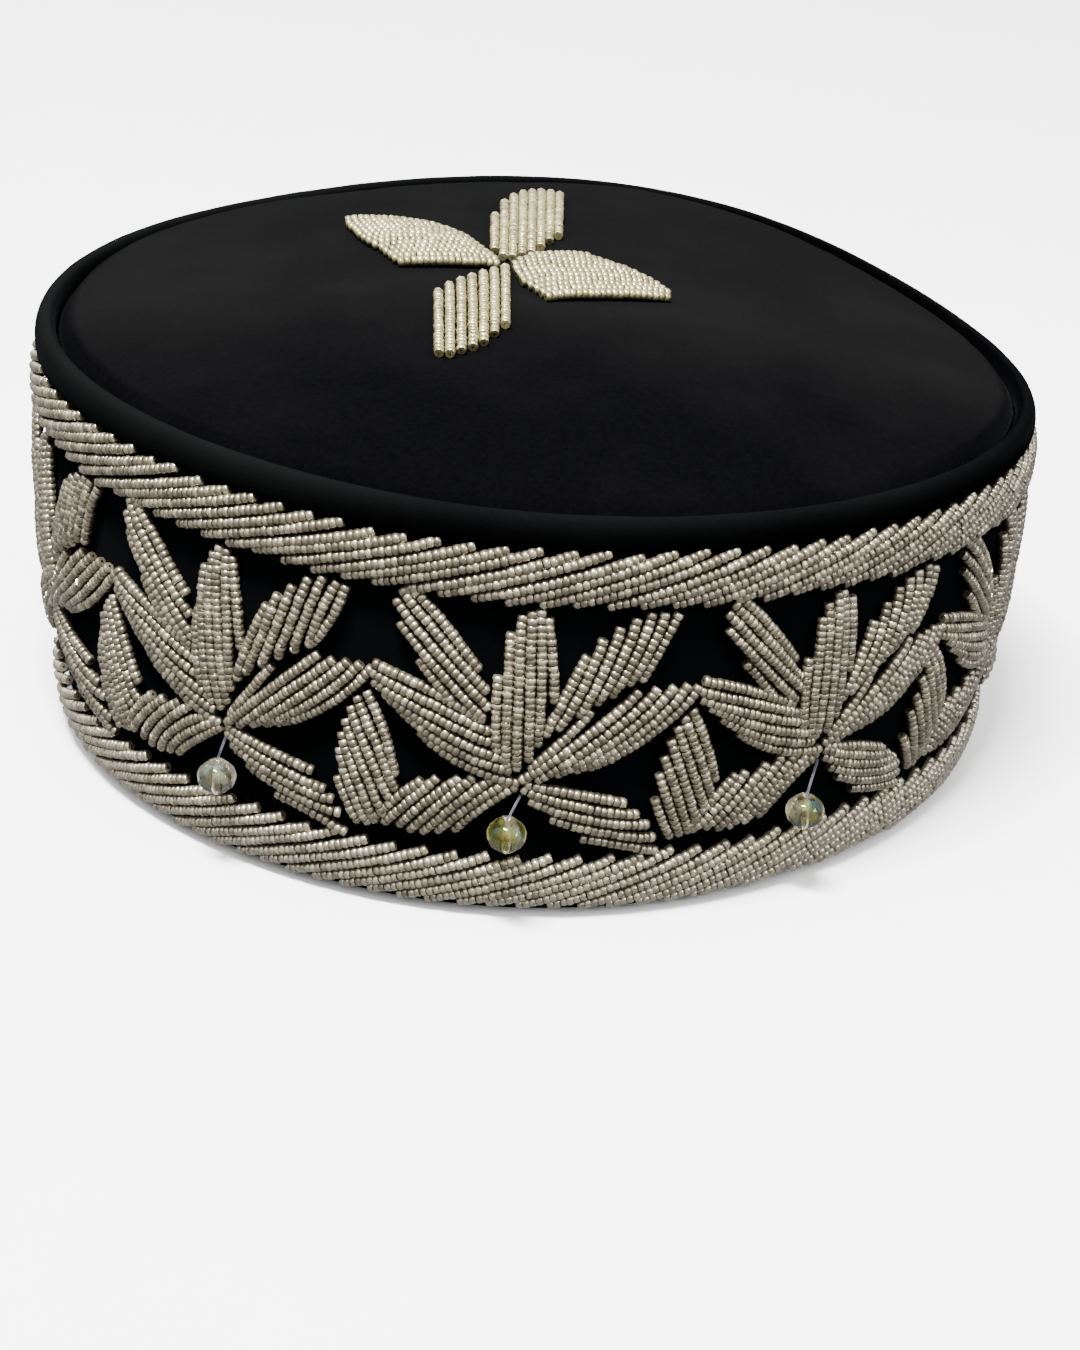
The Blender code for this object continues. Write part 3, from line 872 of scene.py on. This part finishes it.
def crystals():
    """Faceted crystals with a bore along their thread."""
    sides, rings = CRYSTAL_SIDES, CRYSTAL_RINGS
    size = np.array([SHOWN_WIDTH, SHOWN_WIDTH, SHOWN_HEIGHT]) / 2
    vertices, faces, tones = [], [], []
    for spray, across, up, tone, change in HANGING:
        middle = band_spots(spray + across, up, GAP + SHOWN_WIDTH / 2)
        first = len(vertices)
        for rise, reach, twist in rings:
            for i in range(sides):
                turn = 2 * pi * (i + twist) / sides
                vertices.append(middle + size * (cos(turn) * reach, sin(turn) * reach, rise))
                tones.append(BORE_TONE if reach == BORE else tone + change * cos(turn) * reach)
        count = len(rings)
        for r in range(count):
            low, high = first + r * sides, first + ((r + 1) % count) * sides
            twist, following = rings[r][2], rings[(r + 1) % count][2]
            for i in range(sides):
                j = (i + 1) % sides
                if twist < following:
                    faces += [(low + i, high + i, low + j), (low + j, high + i, high + j)]
                else:
                    faces += [(low + i, high + i, high + j), (low + i, high + j, low + j)]
    return toned(mesh_object("crystals", np.array(vertices), faces, GLASS, smooth=False), np.array(tones))


def tubes(name, lines, width, finish, sides=8):
    """Round threads along lines of points, as one mesh."""
    vertices, faces = [], []
    for line in lines:
        line = np.asarray(line)
        along = unit(np.gradient(line, axis=0))
        side = unit(np.cross(along, np.array([0.3, 0.2, 1.0]) + 0 * along))
        other = np.cross(along, side)
        first = len(vertices)
        for p, a, b in zip(line, side, other):
            for i in range(sides):
                turn = 2 * pi * i / sides
                vertices.append(p + (a * cos(turn) + b * sin(turn)) * width / 2)
        for row in range(len(line) - 1):
            for i in range(sides):
                j = (i + 1) % sides
                low = first + row * sides
                faces.append((low + i, low + j, low + sides + j, low + sides + i))
    return mesh_object(name, np.array(vertices), faces, finish)


def thread_lines():
    """Two strands from each hub through the crystal's bore."""
    lines = []
    for spray, across, up, *_ in HANGING:
        right, higher = hub_shift(spray % SPRAYS, *LOWER_ROOT)
        top = band_spots(spray + LOWER_ROOT[0] + right, LOWER_ROOT[1] + higher - 0.01, RELIEF * 0.5)
        middle = band_spots(spray + across, up, GAP + SHOWN_WIDTH / 2)
        head = middle + np.array([0, 0, SHOWN_HEIGHT / 2])
        foot = middle - np.array([0, 0, SHOWN_HEIGHT / 2 + 0.0003])
        for sign in (-1, 1):
            off = np.array([sign * STRAND_OFFSET, 0, 0])
            lines.append([top + off, top * 0.5 + head * 0.5 + off, head + off, middle + off, foot + off])
    return lines


finish_piece(crystals(), "crystal", *[f"crystal_{row[0]}" for row in CRYSTALS])
finish_piece(tubes("threads", thread_lines(), THREAD_WIDTH, NYLON), "clear_thread",
             *[f"thread_{row[0]}" for row in CRYSTALS])


# Floor, light and camera

FLOOR_REACH = 30.0
FLOOR_DROP = 0.0002
SKY_STOPS = ((0.15, 0.17), (0.80, 1.0))
SKY_STRENGTH = 3.0

floor_mesh = bpy.data.meshes.new("floor")
shape = bmesh.new()
bmesh.ops.create_grid(shape, x_segments=1, y_segments=1, size=FLOOR_REACH)
shape.to_mesh(floor_mesh)
shape.free()
floor = bpy.data.objects.new("floor", floor_mesh)
floor.location = (0, 0, -FLOOR_DROP)
floor_mesh.materials.append(paper("paper"))
bpy.context.scene.collection.objects.link(floor)
floor.visible_diffuse = False
floor.visible_glossy = False
floor.visible_transmission = False

world = bpy.data.worlds.new("studio")
bpy.context.scene.world = world
world.use_nodes = True
sky = world.node_tree
where = sky.nodes.new("ShaderNodeTexCoord")
split = sky.nodes.new("ShaderNodeSeparateXYZ")
shade = sky.nodes.new("ShaderNodeValToRGB")
sky.links.new(where.outputs["Generated"], split.inputs[0])
sky.links.new(split.outputs["Z"], shade.inputs["Fac"])
for element, (at, grey) in zip(shade.color_ramp.elements, SKY_STOPS):
    element.position = at
    element.color = (grey, grey, grey, 1)
sky.links.new(shade.outputs["Color"], sky.nodes["Background"].inputs["Color"])
sky.nodes["Background"].inputs["Strength"].default_value = SKY_STRENGTH


def area_light(name, place, target, size, power):
    """Rectangular soft light aimed at a point."""
    data = bpy.data.lights.new(name, "AREA")
    data.shape = "RECTANGLE"
    data.size, data.size_y = size
    data.energy = power
    made = bpy.data.objects.new(name, data)
    made.location = place
    made.rotation_mode = "QUATERNION"
    made.rotation_quaternion = (Vector(target) - Vector(place)).to_track_quat("-Z", "Y")
    bpy.context.scene.collection.objects.link(made)


area_light("key", (-0.16, -0.38, 1.15), (0, 0, 0.05), (0.42, 0.14), 84.0)
area_light("fill", (0.95, -0.45, 0.55), (0, 0, 0.05), (0.3, 0.3), 5.0)
area_light("back", (-0.5, 0.8, 0.7), (0, 0, 0.06), (0.9, 0.3), 6.0)

# The camera as found from the cap's outlines: metres, radians and millimetres of lens
DISTANCE = 0.6
ABOVE = 0.41727
PITCH = 0.47074
YAW = -0.00722
ROLL = 0.05486
AIM_HEIGHT = 0.040
LENS = 75.14

back = Vector((sin(YAW) * cos(PITCH), -cos(YAW) * cos(PITCH), sin(PITCH)))
right = Vector((cos(YAW), sin(YAW), 0))
up = back.cross(right)
camera_right = right * cos(ROLL) + up * sin(ROLL)
camera_up = up * cos(ROLL) - right * sin(ROLL)
camera_data = bpy.data.cameras.new("camera")
camera_data.lens = LENS
camera_data.sensor_width = 36
camera_data.clip_start = 0.01
camera_data.dof.use_dof = False
camera = bpy.data.objects.new("camera", camera_data)
turn = Matrix((camera_right, camera_up, back)).transposed()
place = Vector((0, -cos(ABOVE), sin(ABOVE))) * DISTANCE + Vector((0, 0, AIM_HEIGHT)) - Vector(MIDDLE)
camera.matrix_world = Matrix.Translation(place) @ turn.to_4x4()
bpy.context.scene.collection.objects.link(camera)
bpy.context.scene.camera = camera
